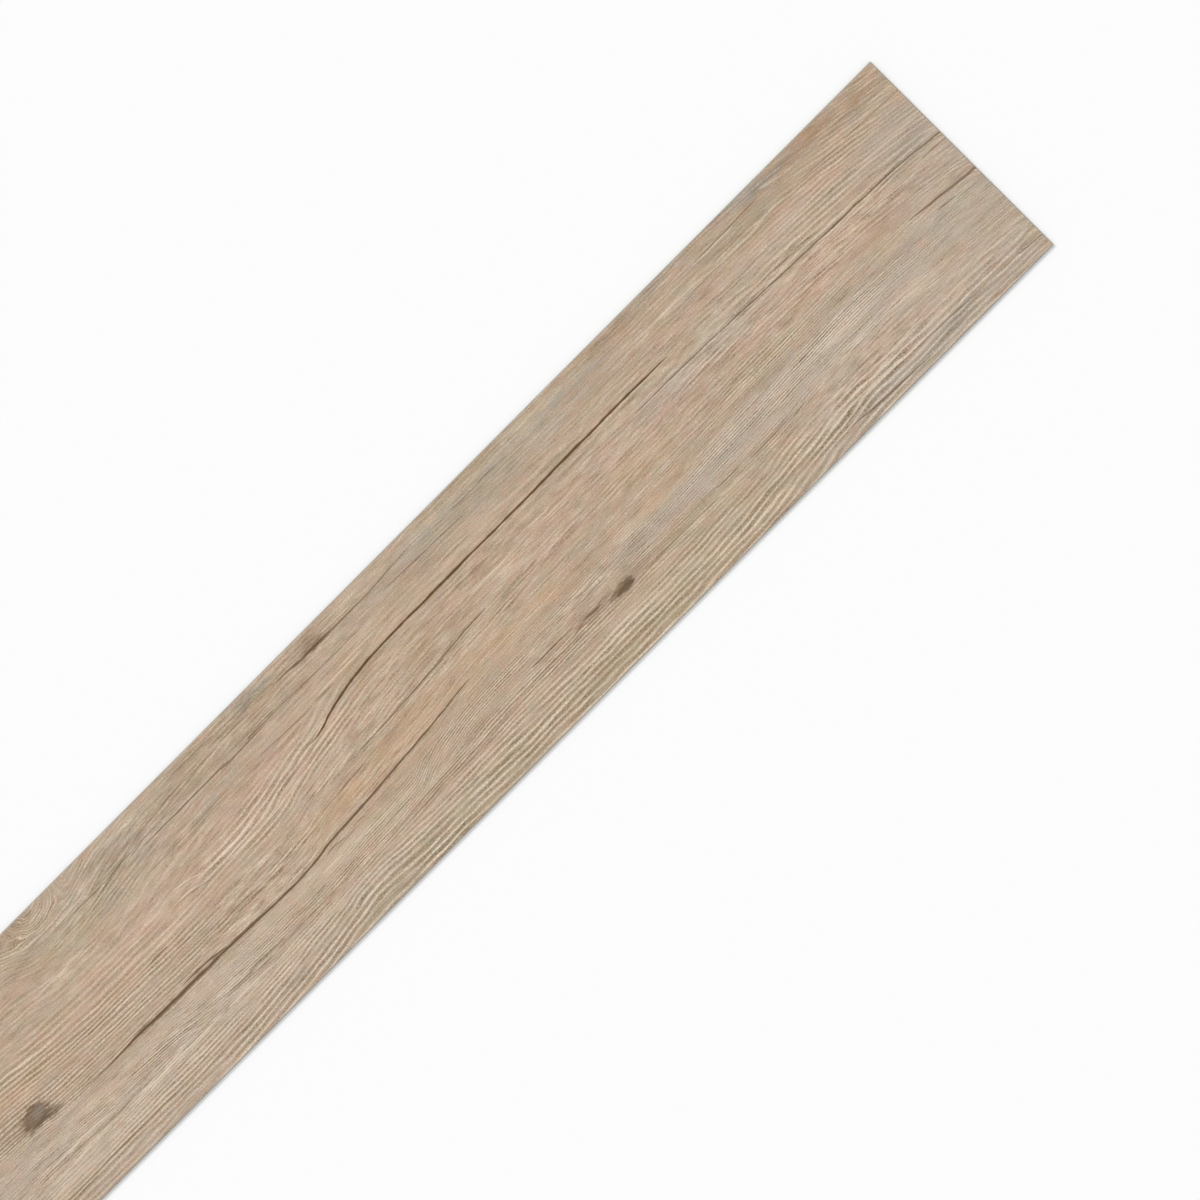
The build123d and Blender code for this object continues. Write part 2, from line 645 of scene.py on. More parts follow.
@dataclass(frozen=True)
class WoodPrint:
    """The picture on the face: aged pale softwood with splits, knots and faded tints."""

    grain: GrainMap = GrainMap()
    quiet: float = 0.85  # how bold the growth lines are away from every patch of bold ones
    loose: float = 0.42  # how far they keep to even rows away from every patch of those
    restraint: float = 0.35  # how soon the boldest lines stop growing bolder
    line_depth: float = 0.12  # how deep a dark one is pressed, in millimetres
    sway: float = 0.2  # how far a split strays from its path, in millimetres
    tint_stray: Point = (12.0, 2.4)  # how far a tint's outline strays along and across
    bold: tuple[Patch, ...] = patches(
        (-310, -4, 130, 30, 0.75), (-350, -13, 24, 10, 1.0), (-190, -13, 140, 18, 0.85),
        (-85, 22, 100, 18, 0.7, 0.16), (-245, 70, 55, 16, 0.75), (-235, -43, 185, 11, 1.15),
        (-340, -46, 50, 9, 0.8), (-190, 58, 70, 12, 0.6, 0.1), (-120, -40, 330, 10, 0.55),
        (60, -44, 110, 9, 0.45), (15, -29, 75, 8, 0.9, 0.06), (-65, -36, 30, 5, 0.9),
        (300, -4, 60, 8, 0.7), (30, -44, 150, 8, 0.3), (150, -47, 150, 8, 0.35),
        (-100, -20, 90, 8, 0.4, 0.05), (0, -64, 620, 19, 0.95), (0, -64, 330, 14, 0.12),
        (330, -56, 80, 10, 0.8), (290, -60, 90, 10, 0.4, 0.08), (310, -22, 110, 11, 1.3),
        (320, -23, 45, 6, 0.6), (130, -24, 100, 6, 0.7), (150, 60, 160, 22, -0.3),
        (330, 38, 110, 14, 0.35), (350, 19, 120, 17, 0.7), (-20, 45, 190, 9, -0.25),
        (20, 38, 190, 12, -0.25), (360, 70, 110, 9, -0.35), (-60, -70, 60, 9, 0.4),
        (215, -60, 60, 9, -0.35), (60, 12, 150, 24, 0.2), (-125, 16, 50, 12, 0.9, 0.03),
        (-147, -12, 70, 14, 0.6), (-45, 6, 70, 8, 0.4), (310, -26, 130, 36, 0.55),
        (130, -34, 150, 14, 0.6), (190, 12, 130, 20, 0.25), (-223, 73, 20, 10, -1.2),
    )
    even_rows: tuple[Patch, ...] = patches(
        (0, -66, 620, 20, 1.0), (-290, -2, 150, 30, 1.0), (-80, 24, 95, 18, 0.8, 0.16),
        (-125, 16, 50, 12, 0.7, 0.03), (300, -6, 70, 10, 0.5), (290, -24, 160, 12, 0.7),
        (10, -29, 80, 8, 0.6, 0.06), (400, 40, 110, 26, 0.6, -0.08), (-240, 66, 60, 20, 0.25),
        (-120, -39, 330, 8, 0.35), (200, -36, 130, 8, 0.3), (90, -48, 240, 9, 0.5),
    )
    tints: dict[Tone, tuple[Patch, ...]] = field(default_factory=lambda: {
        Tone.STONE: patches(
            (-300, -40, 200, 26, 0.35), (-120, -62, 160, 16, 0.15), (-60, -68, 200, 12, 0.2),
            (320, -26, 170, 18, 0.45, 0.02), (450, -5, 60, 60, 0.35), (350, 73, 36, 7, 0.45),
            (330, 66, 90, 10, 0.2), (380, -56, 130, 24, 0.32), (190, -27, 80, 10, 0.3),
            (260, 24, 80, 11, 0.45), (340, 38, 90, 10, 0.2), (120, 62, 150, 12, 0.4),
            (360, -70, 130, 9, 0.4), (445, 34, 50, 20, 0.35), (-290, -71, 90, 8, 0.3),
            (-200, 60, 80, 16, 0.3), (350, -20, 140, 22, 0.12), (280, -64, 190, 16, 0.12),
            (455, -66, 40, 16, 0.15),
        ),
        Tone.KHAKI: patches(
            (190, -62, 130, 20, 0.25), (20, -68, 200, 14, 0.3), (-55, -35, 40, 7, 0.3),
            (-215, 50, 55, 12, 0.3, 0.1), (-270, 62, 60, 10, 0.2), (-140, 66, 60, 10, 0.12),
            (120, 66, 110, 12, 0.25), (330, 60, 60, 8, 0.2), (260, 34, 90, 8, 0.15),
            (290, -5, 40, 7, 0.25), (385, -4, 25, 5, 0.15), (430, -22, 14, 10, 0.25),
            (195, -40, 50, 8, 0.25),
        ),
        Tone.ROSE: patches(
            (-150, 20, 170, 22, 0.28, 0.06), (-85, 36, 45, 9, 0.2), (150, 20, 130, 14, 0.22),
            (250, 12, 70, 11, 0.2), (360, 10, 90, 16, 0.32, -0.05), (125, 5, 35, 9, 0.25),
            (275, 45, 30, 8, 0.25), (360, 46, 70, 10, 0.2), (-365, -43, 35, 6, 0.2),
            (-270, -36, 40, 6, 0.12), (-100, -33, 30, 7, 0.2), (10, -45, 70, 6, 0.12),
            (350, -50, 60, 7, 0.2), (-320, 45, 60, 12, 0.15),
        ),
        Tone.HONEY: patches(
            (405, 67, 75, 10, 0.2), (-20, -9, 95, 10, 0.3, 0.05), (-85, -12, 45, 9, 0.22, 0.05),
            (85, -12, 60, 8, 0.28), (190, 5, 50, 11, 0.22), (180, -14, 60, 8, 0.2),
            (-330, 3, 25, 9, 0.25), (-250, 10, 140, 22, 0.12), (20, 22, 200, 16, 0.12),
            (20, 44, 80, 8, 0.16), (240, 63, 60, 6, 0.15), (310, 69, 50, 7, 0.15),
            (400, 71, 40, 6, 0.12), (-60, -24, 60, 6, 0.15), (20, -10, 120, 22, 0.12),
            (-285, -30, 50, 20, 0.14),
        ),
        Tone.CREAM: patches(
            (-250, -50, 120, 2.0, 0.28), (-330, -49, 30, 2.5, 0.25), (-170, -56, 330, 9, 0.14),
            (160, -57, 110, 7, 0.12), (345, -50, 120, 12, 0.1), (340, -30, 110, 12, 0.12),
            (-330, -52, 90, 26, 0.12), (-230, -34, 130, 8, 0.14), (-180, 10, 100, 14, 0.08),
            (-180, 24, 150, 20, 0.08), (-70, -33, 50, 7, 0.09), (340, 34, 110, 16, 0.09),
            (-50, 31, 60, 8, 0.15, 0.1), (180, 20, 40, 8, 0.12), (270, 20, 40, 8, 0.1),
            (385, 18, 45, 12, 0.14), (320, -24, 60, 3.5, 0.2, 0.02), (370, -37, 45, 5, 0.16),
            (300, 56, 90, 1.5, 0.35, -0.02), (390, 50, 40, 1.5, 0.35, -0.16),
            (-135, -28, 40, 2.6, 0.14), (310, -58, 60, 4, 0.16), (-85, 15, 60, 11, 0.13),
            (250, -24, 70, 12, 0.09), (-180, -33, 200, 8, 0.08), (-80, -38, 80, 8, 0.07),
            (-255, -58, 70, 8, 0.09), (-190, -71, 50, 7, 0.12), (127, -57, 45, 7, 0.09),
            (345, -58, 70, 10, 0.13), (285, -70, 50, 6, 0.09),
        ),
        Tone.SLATE: patches(
            (-65, 71, 30, 5.0, 0.4), (-170, 66, 40, 5, 0.22, 0.22), (-190, 46, 45, 4, 0.16, 0.2),
            (-115, 46, 25, 4, 0.2, 0.2), (75, 66, 40, 4, 0.2), (200, 65, 50, 3.0, 0.25),
            (140, 66, 60, 3.0, 0.2), (355, 72, 22, 5, 0.4, -0.1), (290, 74, 60, 3.0, 0.25),
            (430, 60, 40, 6, 0.15, -0.15), (140, -26, 30, 6, 0.16),
        ),
        Tone.UMBER: patches(
            (405, 66, 80, 12, 0.08), (-160, 62, 60, 5, 0.14, 0.18), (-100, 57, 60, 6, 0.08),
            (50, 56, 70, 8, 0.14), (-50, -69, 60, 8, 0.12), (-72, 71, 26, 7, 0.15),
            (-75, 55, 25, 2.0, 0.2), (-262, 42, 60, 4, 0.12, 0.02), (-262, 57, 45, 4, 0.12),
            (325, 59, 40, 2.5, 0.16), (400, 71, 80, 10, 0.26, -0.06), (235, 72, 60, 7, 0.18),
            (255, -46, 35, 1.8, 0.25), (305, -45, 30, 1.6, 0.18), (155, -41, 50, 7, 0.14),
            (-30, 66, 90, 9, 0.1), (-340, -15, 24, 6, 0.15), (-300, -20, 45, 3.5, 0.1),
            (330, -71, 45, 2.5, 0.12), (450, -68, 20, 3, 0.12), (-320, -62, 60, 2, 0.1),
            (30, 33, 90, 8, 0.06), (280, 68, 130, 14, 0.1), (-150, 57, 110, 8, 0.09),
            (-335, -10, 34, 14, 0.12), (-130, -13, 80, 10, 0.07), (130, 28, 90, 9, 0.08),
        ),
    })
    splits: tuple[Split, ...] = (
        # The long cracks
        Split(((-62, 25.8), (-55, 26.4, 0.7), (-48, 27.6, 1.3), (-40, 30.3, 1.5),
               (-30, 32.7, 1.5), (-18, 35, 1.6), (-6, 36.5, 1.6), (10, 37.6, 1.6),
               (40, 37.8, 1.5), (70, 38, 1.6), (84, 37.9, 0.6), (90, 38)), 0.24, 1.0),
        Split(((76, 38.4), (86, 38.3, 1.2), (105, 38.1, 1.5), (125, 38, 1.6), (150, 38.4, 1.9),
               (185, 38.6, 1.7), (215, 38.7, 1.5), (234, 38.6, 1.2), (250, 38.2)), 0.24, 0.98),
        Split(((-292, -23.9), (-278, -23.7, 0.8), (-262, -23.6, 1.2), (-253, -23.2, 2.0),
               (-240, -23.7, 2.6), (-222, -24, 2.6), (-205, -24.1, 2.4), (-190, -24.4, 1.6),
               (-172, -24.8)), 0.25, 0.88),
        Split(((-204, -24), (-188, -24.3, 1.8), (-160, -24.9, 2.0), (-130, -26, 1.7),
               (-110, -25.3, 1.6), (-92, -23, 1.5), (-75, -22, 1.6), (-50, -20.5, 1.5),
               (-20, -18.1, 1.4), (0, -16.6, 1.1), (20, -14.4, 0.8), (34, -13.1)), 0.24, 0.85),
        Split(((-214, -21), (-204, -21.1, 0.9), (-195, -21.3, 1.1), (-186, -22.4, 0.9),
               (-176, -24)), 0.16, 0.9),
        Split(((212, 27.8), (235, 27.8, 0.7), (260, 27.3, 0.8), (310, 25.6, 1.0),
               (340, 24.3, 1.2), (370, 23.3, 1.1), (410, 22, 1.1), (430, 21, 1.1),
               (445, 19.2, 1.2), (460, 17.7, 1.3)), 0.2, 0.74),
        # The hairlines, with those of one depth and one strength together
        *alike(0.15, 0.8,
            ((-42, 2.8), (-34, 3.1, 0.7), (-10, 4, 0.7), (5, 5, 0.8), (20, 6, 0.9),
             (27, 6.1, 0.7), (31, 6.1)),
            ((24, 6.9), (28, 7.1, 0.7), (42, 7.9, 0.8), (55, 9, 0.8), (70, 9.5))),
        *alike(0.1, 0.6,
            ((-84, -7.4), (-68, -6.2, 0.6), (-55, -5.2, 0.7), (-44, -4.8)),
            ((-84, 54.3), (-80, 54.3, 0.9), (-60, 54.3, 0.7), (-30, 53.6, 0.7), (14, 53.2)),
            ((-352, -65.2), (-345, -65, 1.0), (-334, -64.8, 0.9), (-328, -64.6)),
            ((64, -34.4), (74, -34.9, 0.9), (90, -34.9, 0.9), (98, -35.3)),
            ((96, -38.7), (99, -38.2, 1.0), (104, -37.7))),
        Split(((406, -6.2), (414, -6.9, 1.1), (425, -8, 1.5), (440, -9.9, 1.6),
               (460, -11.6, 2.0)), 0.24, 0.72),
        *alike(0.12, 0.6,
            ((423, -13.6), (428, -14.2, 1.1), (433, -14.6, 0.9), (437, -15)),
            ((437, 14.6), (446, 14, 0.8), (460, 12.7, 0.8))),
        Split(((292, -67.4), (304, -68.2, 0.8), (314, -69.2, 1.4), (330, -70, 1.4),
               (345, -70.6, 1.1), (370, -71.3)), 0.2, 0.65),
        *alike(0.1, 0.55,
            ((320, -61), (360, -62.4, 0.7), (385, -63.2, 0.7), (398, -64, 0.8), (414, -64.5)),
            ((-246, 54), (-226, 54.2, 0.7), (-200, 54.4, 0.7), (-188, 55.4, 0.7),
             (-170, 56.1, 0.8), (-158, 56.3)),
            ((34, 59.6), (50, 59.2, 0.8), (62, 58.6, 0.8), (84, 58.2, 0.8), (104, 57.4)),
            ((300, 65.8), (316, 66.3, 0.8), (340, 66.5, 0.8), (354, 66.8)),
            ((-352, -63.2), (-330, -62.8, 0.6), (-300, -62.6, 0.8), (-262, -62.8, 0.7),
             (-240, -63))),
        Split(((438, -65.6), (447, -66.4, 0.9), (460, -67, 0.9)), 0.1, 0.65),
        Split(((-172, 53), (-155, 53.1, 0.8), (-130, 53.2, 1.0), (-108, 53.3, 0.9), (-100, 53.2)),
               0.14, 0.75),
        Split(((-108, 52.6), (-102, 52.4, 1.0), (-92, 52.5, 0.9), (-74, 53, 0.6), (-62, 53)),
               0.12, 0.7),
        *alike(0.08, 0.45,
            ((-84, 56), (-78, 55.8, 0.8), (-64, 55.6, 0.7), (-60, 55.6)),
            ((-158, 62.6), (-140, 63.2, 0.8), (-118, 63.5, 0.8), (-100, 63.4)),
            ((-97, 65), (-84, 64.6, 0.8), (-68, 64)),
            ((-356, -45.2), (-340, -45.4, 0.8), (-318, -46, 0.9), (-296, -47, 0.9),
             (-280, -47.4)),
            ((-14, -47.6), (0, -47.8, 0.8), (14, -47.8, 0.7), (26, -47.4)),
            ((216, -37.2), (224, -37.2, 0.9), (236, -37.6)),
            ((242, -38.8), (256, -38.6, 0.9), (276, -38.4)),
            ((68, 47.4), (78, 47, 0.8), (94, 46.8))),
        Split(((-56, 67), (-40, 65.8, 0.9), (-28, 65, 1.8), (-14, 64.9, 2.0), (-4, 64.9, 1.2),
               (22, 64.8, 0.9), (46, 66, 0.7), (64, 66.8)), 0.16, 0.7),
        *alike(0.08, 0.5,
            ((96, 64.8), (102, 64.4, 0.9), (110, 64.2)),
            ((118, 64.4), (124, 64.8, 0.9), (134, 64.8)),
            ((-86, 42), (-74, 41.6, 0.8), (-56, 40.9, 0.8), (-44, 40.4)),
            ((-40, 41.5), (-34, 41.5, 0.8), (-26, 41.8)),
            ((-136, 70.4), (-120, 70.9, 0.8), (-104, 70.5, 0.8), (-96, 70)),
            ((-196, -43.4), (-182, -43.7, 0.9), (-165, -43.7, 0.7), (-150, -44.2)),
            ((-70, -46.4), (-50, -45, 0.8), (-24, -43.2, 0.7), (4, -42)),
            ((-38, -47.4), (-30, -46.6, 0.8), (-20, -45.6))),
        *alike(0.1, 0.5,
            ((282, 55.2), (290, 54.6, 0.8), (304, 54.2, 0.7), (312, 54)),
            ((376, 56.6), (388, 55.6, 0.8), (400, 54.6, 0.7), (410, 54)),
            ((414, 54.8), (424, 54.4, 0.8), (440, 53.7, 0.6), (460, 52.6, 0.4)),
            ((118, -36.4), (121, -35.8, 1.0), (126, -36.2))),
        *alike(0.08, 0.35,
            ((-182, 39.6), (-160, 40, 0.8), (-135, 40.6, 0.9), (-112, 41.6)),
            ((6, -45.2), (30, -44.6, 0.7), (62, -44.2))),
        Split(((-158, -45.2), (-140, -45.6, 0.8), (-120, -45.4, 0.7), (-100, -45)), 0.08, 0.4),
        *alike(0.1, 0.45,
            ((58, -41), (74, -41.2, 0.9), (92, -41.4, 0.8), (102, -41.8)),
            ((152, -41), (160, -41.6, 1.0), (168, -41.4, 0.8), (182, -40.8, 0.6),
             (204, -41.4, 0.6), (214, -41.8))),
        Split(((104, -36.8), (109, -36.5, 1.2), (114, -36.9, 1.6), (119, -36.6)), 0.1, 0.7),
        Split(((-186, 14.6), (-176, 14.4, 0.8), (-166, 12.9, 1.0), (-158, 11.4)), 0.1, 0.4),
        Split(((-178, 16.6), (-172, 16.4, 0.8), (-164, 15.6)), 0.08, 0.3),
        Split(((-174, 20.6), (-168, 20, 0.8), (-161, 18)), 0.08, 0.28),
        Split(((-228, 1.4), (-218, 1.3, 0.6), (-212, 1.7, 1.7), (-208, 1.7, 1.5), (-203, 1.2)),
               0.12, 0.55),
        Split(((-99, -27.6), (-93, -26.4, 1.3), (-88, -26.8, 1.0), (-82, -28.4)), 0.06, 0.45),
        Split(((-76, -27.6), (-72, -25.8, 1.1), (-66, -27.4)), 0.06, 0.4),
    )
    # Single pale fibres that stand out, drawn as splits are
    streaks: tuple[Split, ...] = (
        *alike(0, 0.5,
            ((-142, 12.2), (-132, 11.8, 1.0), (-116, 12)),
            ((-98, 13.4), (-88, 14.6, 1.0), (-76, 17)),
            ((-62, 22), (-50, 23.6, 1.0), (-36, 25.2)),
            ((-64, 28), (-54, 29.2, 1.0), (-42, 31.6)),
            ((-242, 56), (-228, 57, 1.0), (-212, 59.4)),
            ((-264, -49.6), (-240, -49.4, 1.2), (-212, -49.8))),
        Split(((-36, 43), (-20, 43.7, 0.9), (2, 43.8)), 0, 0.55),
        *alike(0, 0.45,
            ((-16, 45.8), (0, 46.3, 0.9), (16, 46.2)),
            ((-276, 35.6), (-258, 35.2, 1.0), (-238, 35.6)),
            ((-178, 22.4), (-170, 21, 1.0), (-158, 17.6)),
            ((-346, -43), (-322, -42.6, 1.0), (-298, -43.4)),
            ((-204, -49.8), (-186, -49.6, 1.0), (-166, -50)),
            ((298, 65.6), (314, 65.2, 1.0), (332, 65.4)),
            ((262, 57.6), (282, 57.2, 1.0), (300, 56.4)),
            ((358, 69.4), (364, 68, 1.0), (374, 66)),
            ((304, -23.4), (322, -24, 0.9), (346, -24.4))),
        *alike(0, 0.4,
            ((-6, 24.6), (4, 25.4, 0.9), (14, 25.8)),
            ((128, 22.4), (144, 22.2, 0.8), (164, 22.6)),
            ((-82, -33.8), (-66, -34.2, 0.9), (-48, -33.6)),
            ((-108, -33.4), (-100, -33, 1.0), (-92, -33.6)),
            ((-218, 60), (-208, 61.4, 1.0), (-196, 63.4)),
            ((-180, 16), (-172, 15.2, 0.9), (-162, 13)),
            ((310, -20), (326, -20.6, 0.9), (350, -21))),
        Split(((68, 21.8), (84, 21.6, 1.0), (104, 21.8)), 0, 0.6),
    )
    knots: tuple[Knot, ...] = (
        Knot(-329.0, -14.2, 16.0, 8.6, Tone.OLIVE, 0.3, 0.3),
        Knot(-328.6, -14.2, 9.6, 6.2, Tone.OLIVE, 0.55, 0.22, 0.35),
        Knot(-327.0, -9.0, 8.0, 2.6, Tone.OLIVE, 0.4, 0.5),
        Knot(-328.0, -18.9, 12.0, 2.1, Tone.OLIVE, 0.6, 0.4),
        Knot(-337.6, -16.6, 2.6, 2.0, Tone.UMBER, 0.55, 0.4),
        Knot(-326.5, -13.4, 5.6, 3.4, Tone.ASH, 0.45, 0.4),
        Knot(-316.0, -20.4, 7.0, 2.0, Tone.OLIVE, 0.45, 0.4),
        Knot(131.5, -39.6, 11.0, 2.8, Tone.UMBER, 0.5, 0.25),
        Knot(136.0, -39.2, 8.0, 3.2, Tone.UMBER, 0.5, 0.15, 0.35),
        Knot(137.0, -40.4, 7.8, 1.9, Tone.OLIVE, 0.6, 0.15, 0.35),
        Knot(140.6, -38.6, 3.8, 3.0, Tone.OLIVE, 0.5, 0.2, 0.5),
        Knot(110.0, -38.0, 18.0, 4.6, Tone.RUST, 0.22, 0.5),
        Knot(144.0, -36.0, 18.0, 5.0, Tone.OLIVE, 0.18, 0.5),
        Knot(-19.0, 68.6, 9.0, 5.0, Tone.RUST, 0.34, 0.4),
        Knot(-19.0, 65.4, 15.0, 2.6, Tone.OLIVE, 0.45, 0.6),
        Knot(-348.0, -12.0, 14.0, 9.0, Tone.OLIVE, 0.14, 0.5),
        Knot(-320.0, -18.6, 7.0, 4.4, Tone.OLIVE, 0.4, 0.35),
    )


@dataclass
class Grain:
    """The slow parts of the picture at a point, which the other layers are drawn from."""

    even: Varying
    odd: Varying
    even_holds: Varying
    bold: Varying
    in_rows: Varying
    tint: Any

    @classmethod
    def drawn(cls, graph: Graph, design: WoodPrint) -> "Grain":
        """Works the parts out from the design.

        Args:
            graph: The graph to draw in.
            design: The picture.

        Returns:
            The parts.
        """
        x, y, _ = graph.place()
        even, odd, even_holds = design.grain.phases(x, y)
        waver = graph.noise(x / 60, y / 6, 1.0, 3.0) * 0.5 + 1.0
        bold = shown(design.bold, x, y, design.quiet) * waver
        in_rows = shown(design.even_rows, x, y, design.loose).at_most(1.0)
        stray_x, stray_y = design.tint_stray
        tint_x = x + graph.noise(x / 30, y / 5, 2.0, 41.0) * stray_x
        tint_y = y + graph.noise(x / 22, y / 6, 2.0, 47.0) * stray_y
        tint: Any = linear(Tone.TAN.value)
        for tone, spots in design.tints.items():
            tint = graph.ink(shown(spots, tint_x, tint_y).at_most(1.0), tint, tone)
        return cls(even, odd, even_holds, bold, in_rows, tint)

    @classmethod
    def kept(cls, graph: Graph) -> "Grain":
        """Reads the parts that were kept in the mesh, in a material.

        Args:
            graph: The material's graph.

        Returns:
            The parts.
        """
        numbers = []
        for name in ("even", "odd", "even_holds", "bold", "in_rows"):
            made = graph.node("ShaderNodeAttribute", {"attribute_name": name})
            numbers.append(Varying(graph, made.outputs["Fac"]))
        tint = graph.node("ShaderNodeAttribute", {"attribute_name": "tint"})
        return cls(*numbers, tint.outputs["Color"])

    def keep(self, graph: Graph, mesh: bpy.types.NodeSocket) -> bpy.types.NodeSocket:
        """Keeps the parts in a mesh, as values of its corners.

        Args:
            graph: The geometry graph.
            mesh: The mesh before.

        Returns:
            The mesh after.
        """
        for name, value in vars(self).items():
            kind = "FLOAT" if isinstance(value, Varying) else "FLOAT_VECTOR"
            made = graph.node(
                "GeometryNodeStoreNamedAttribute",
                {"data_type": kind, "domain": "POINT"},
                {"Geometry": mesh, "Name": name, "Value": value},
            )
            mesh = made.outputs["Geometry"]
        return mesh


class PrintPress:
    """Draws the fast parts of the wood print in a graph, for its colour or for its relief."""

    def __init__(self, graph: Graph, design: WoodPrint, grain: Grain) -> None:
        """Reads the place once, for every layer.

        Args:
            graph: The graph to draw in.
            design: The picture.
            grain: The slow parts of the picture.
        """
        self.graph = graph
        self.design = design
        self.grain = grain
        self.x, self.y, self.z = graph.place()
        self.ragged = graph.noise(self.x / 6, self.y / 20, 1.0, 31.0)
        self.swayed = self.y + graph.noise(self.x / 14, self.y / 25, 1.0, 37.0) * design.sway

    def _rows(self, phase: Varying) -> Varying:
        """The growth lines by one count of them: below 0 on a dark line, above 0 on a pale one."""
        graph, x = self.graph, self.x
        swell = graph.noise(x / 30, phase * 0.45, 1.0, 19.0) * 0.6 + 1.0
        turn = graph.math("COSINE", phase * math.tau)
        # With a second wave at twice the pace, pale lines are narrow and dark ones broad
        wave = (turn * turn * 0.6 + turn - 0.3) * swell * self.grain.in_rows
        loose = graph.noise(x / 36, phase * 1.7, 1.0, 23.0)
        fine = graph.noise(x / 11, phase * 3.1, 1.0, 29.0)
        free = self.grain.in_rows * -0.7 + 1.0
        return wave * 0.6 + (loose + fine * 1.15) * free

    def lines(self) -> Varying:
        """The growth lines, as bold as they are here."""
        graph = self.graph
        odd, even = self._rows(self.grain.odd), self._rows(self.grain.even)
        stipple = graph.noise(self.x / 1.5, self.y / 0.9, 1.0, 83.0) * 1.3 + 1.0
        lines = odd.mix(even, self.grain.even_holds) * self.grain.bold * stipple
        return lines / (abs(lines) * self.design.restraint + 1.0)

    def _strongest(
        self, splits: Sequence[Split], worth: Callable[[Split], float], least: Number = 0.0
    ) -> Varying:
        """How strongly the strongest of some splits shows here.

        Args:
            splits: The splits.
            worth: Tells how strongly a split shows where it is open.
            least: What shows where there is none.

        Returns:
            The largest of these.
        """
        for split in splits:
            opening = split.opening(self.x, self.swayed, self.ragged)
            least = (opening * worth(split)).at_least(least)
        return least

    def splits(self) -> Varying:
        """How dark the splits and hairlines are here."""
        return self._strongest(self.design.splits, lambda split: split.strength)

    def streaks(self) -> Varying:
        """How pale the single fibres are here."""
        return self._strongest(self.design.streaks, lambda streak: streak.strength)

    def relief(self) -> Varying:
        """How deep the face is pressed here, in millimetres."""
        lines = self.lines().ramp(1.0, -1.5, "LINEAR") * self.design.line_depth
        return self._strongest(self.design.splits, lambda split: split.depth, lines)


@dataclass(frozen=True)
class PrintedFace:
    """The printed film under its clear, matt, embossed wear layer."""

    design: WoodPrint = WoodPrint()
    roughness: float = 0.56
    reflection: float = 0.25
    flush: float = 0.24  # how far the colour strays to rose and to khaki
    glow: float = 0.16  # how far it strays to honey and to stone
    contrast: float = 0.495  # how strongly the growth lines are inked
    fibre: float = 0.08  # how strongly the long thin fibres are
    tick: float = 0.21  # how strongly the short pores are
    band: float = 0.135  # how strongly the broad light and dark bands are
    sheen: float = 0.15  # how much smoother the pale wood is than the dark lines
    pore: float = 0.02  # how deep the finest pores are, in millimetres

    def material(self) -> bpy.types.Material:
        """Makes the face's material."""
        made, graph = Graph.of_material("printed_face")
        grain = Grain.kept(graph)
        press = PrintPress(graph, self.design, grain)
        x, y = press.x, press.y

        flush = graph.noise(x / 16, y / 10, 1.0, 53.0) * 1.3 + graph.noise(x / 5, y / 4, 0.0, 55.0)
        colour = graph.tinge(flush, grain.tint, Tone.ROSE, Tone.KHAKI, self.flush)
        glow = graph.noise(x / 18, y / 10, 1.0, 57.0) * 1.3 + graph.noise(x / 5, y / 4, 0.0, 59.0)
        colour = graph.tinge(glow, colour, Tone.HONEY, Tone.STONE, self.glow)

        shade = press.lines() * self.contrast
        shade += graph.noise(x / 7, y / 0.45, 1.0, 61.0) * self.fibre
        shade += graph.noise(x / 1.0, y / 0.7, 1.0, 67.0) * self.tick
        band = graph.noise(x / 75, y / 8, 2.0, 73.0) + graph.noise(x / 25, y / 5, 1.0, 75.0) * 0.5
        shade += band * self.band
        colour = graph.tinge(shade, colour, Tone.CREAM, Tone.UMBER)
        colour = graph.ink(press.streaks(), colour, Tone.CREAM)

        rough = graph.noise(x / 5, y / 1.6, 3.0, 71.0)
        for knot in self.design.knots:
            colour = graph.ink(knot.body(x, y, rough), colour, knot.tone)
        colour = graph.ink(press.splits(), colour, Tone.SPLIT)

        pores = graph.noise(x / 5, y / 0.5, 1.0, 79.0) * self.pore
        graph.surface(colour, self.roughness - shade * self.sheen, self.reflection, pores)
        return made


@dataclass(frozen=True)
class CutEdge:
    """The cut sides and the eased edge: grey filled core under the thin print and wear layer."""

    core: Colour = (150, 148, 143)
    film: Colour = (122, 108, 92)
    wear: Colour = (176, 170, 160)
    wear_depth: float = 0.3  # millimetres of clear layer above the printed film
    film_depth: float = 0.12  # millimetres of print below it
    drag_depth: float = 0.03  # how deep the blade's marks are, in millimetres
    speck_depth: float = 0.02  # how far the filler's grains stand out, in millimetres
    roughness: float = 0.7
    reflection: float = 0.3

    def material(self, top: float) -> bpy.types.Material:
        """Makes the edge's material.

        Args:
            top: The height of the face, in metres.

        Returns:
            The material.
        """
        made, graph = Graph.of_material("cut_edge")
        x, y, z = graph.place()
        down = top / MM - z
        speck = graph.noise((x + y) / 0.35, z / 0.3, 2.0, 5.0)
        drag = graph.noise((x + y) / 0.25, z / 2.5, 1.0, 9.0)
        colour: Any = graph.blend(speck.ramp(0.2, 0.8) * 0.3, linear(self.core), linear(self.wear))
        in_film = down.ramp(self.wear_depth + self.film_depth, self.wear_depth)
        colour = graph.blend(in_film, colour, linear(self.film))
        in_wear = down.ramp(self.wear_depth, self.wear_depth - self.film_depth)
        colour = graph.blend(in_wear, colour, linear(self.wear))
        scratches = drag * self.drag_depth + speck * self.speck_depth
        graph.surface(colour, speck * 0.06 + self.roughness, self.reflection, scratches)
        return made


